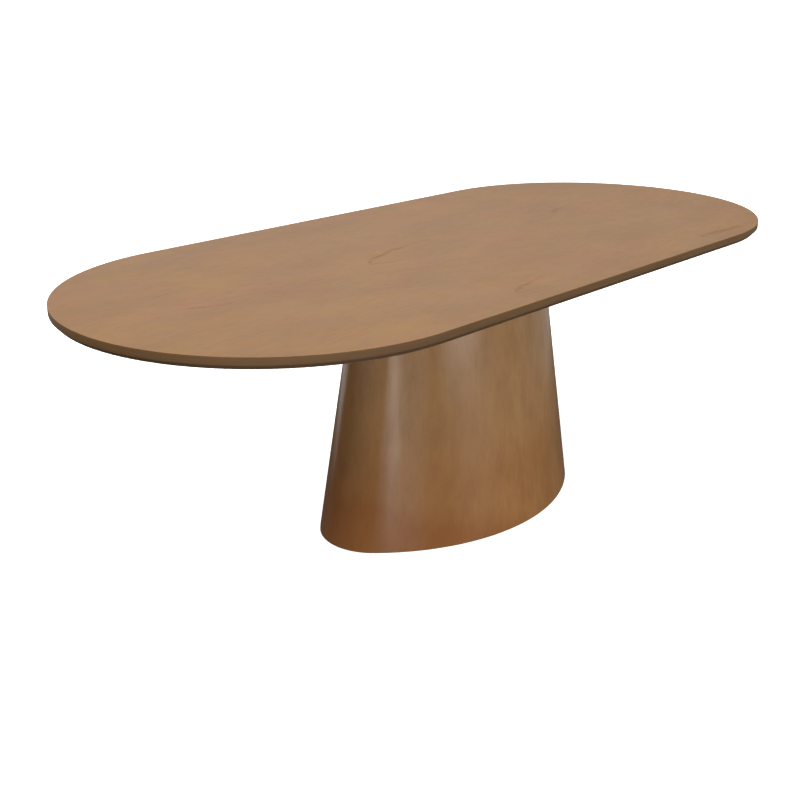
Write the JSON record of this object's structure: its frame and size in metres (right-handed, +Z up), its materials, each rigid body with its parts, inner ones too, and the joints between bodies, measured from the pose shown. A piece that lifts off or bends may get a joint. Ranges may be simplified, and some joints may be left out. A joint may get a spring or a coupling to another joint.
{
  "type": "dining table",
  "caption": "Oval dining table with round ends: a thin veneered top with an undercut edge on a hollow tapered oval pedestal with levelling feet.",
  "frame": {"origin": "on the floor under the middle of the top, which is the middle of the pedestal", "axes": "+X along the length to the right end, +Y to the rear side, +Z up"},
  "size_m": [2.3098, 1.04, 0.75],
  "materials": {
    "top_face": "matt-satin lacquered veneer",
    "edge_lipping": "satin lacquered solid wood",
    "pedestal_face": "satin lacquered veneer",
    "board": "bare fibreboard",
    "plywood": "bare plywood",
    "steel": "zinc plated",
    "brass": "bare",
    "pad_plastic": "matt"
  },
  "bodies": {
    "table": {"top_veneer": "top_face", "lipping_front": "edge_lipping", "lipping_rear": "edge_lipping", "lipping_left": "edge_lipping", "lipping_right": "edge_lipping", "pedestal_veneer": "pedestal_face", "top_core": "board", "backing_veneer": "board", "head_plate": "board", "mid_former": "board", "base_former": "board", "shell_front": "plywood", "shell_rear": "plywood", "rib_front_left": "plywood", "rib_front_right": "plywood", "rib_rear_left": "plywood", "rib_rear_right": "plywood", "rib_left": "plywood", "rib_right": "plywood", "channel_front": "steel", "channel_rear": "steel", "channel_screws_set": "steel", "rib_screws": "steel", "table_bolts": "steel", "bolt_washers": "steel", "top_inserts": "brass", "foot_inserts": "brass"},
    "foot_front_left": {"stud_front_left": "steel", "pad_front_left": "pad_plastic"},
    "foot_front_middle": {"stud_front_middle": "steel", "pad_front_middle": "pad_plastic"},
    "foot_front_right": {"stud_front_right": "steel", "pad_front_right": "pad_plastic"},
    "foot_rear_left": {"stud_rear_left": "steel", "pad_rear_left": "pad_plastic"},
    "foot_rear_middle": {"stud_rear_middle": "steel", "pad_rear_middle": "pad_plastic"},
    "foot_rear_right": {"stud_rear_right": "steel", "pad_rear_right": "pad_plastic"}
  },
  "joints": [
    {"name": "level_front_left", "type": "slide", "parent": "table", "child": "foot_front_left", "axis": [0, 0, -1], "range_m": [0, 0.01]},
    {"name": "level_front_middle", "type": "slide", "parent": "table", "child": "foot_front_middle", "axis": [0, 0, -1], "range_m": [0, 0.01]},
    {"name": "level_front_right", "type": "slide", "parent": "table", "child": "foot_front_right", "axis": [0, 0, -1], "range_m": [0, 0.01]},
    {"name": "level_rear_left", "type": "slide", "parent": "table", "child": "foot_rear_left", "axis": [0, 0, -1], "range_m": [0, 0.01]},
    {"name": "level_rear_middle", "type": "slide", "parent": "table", "child": "foot_rear_middle", "axis": [0, 0, -1], "range_m": [0, 0.01]},
    {"name": "level_rear_right", "type": "slide", "parent": "table", "child": "foot_rear_right", "axis": [0, 0, -1], "range_m": [0, 0.01]}
  ]
}
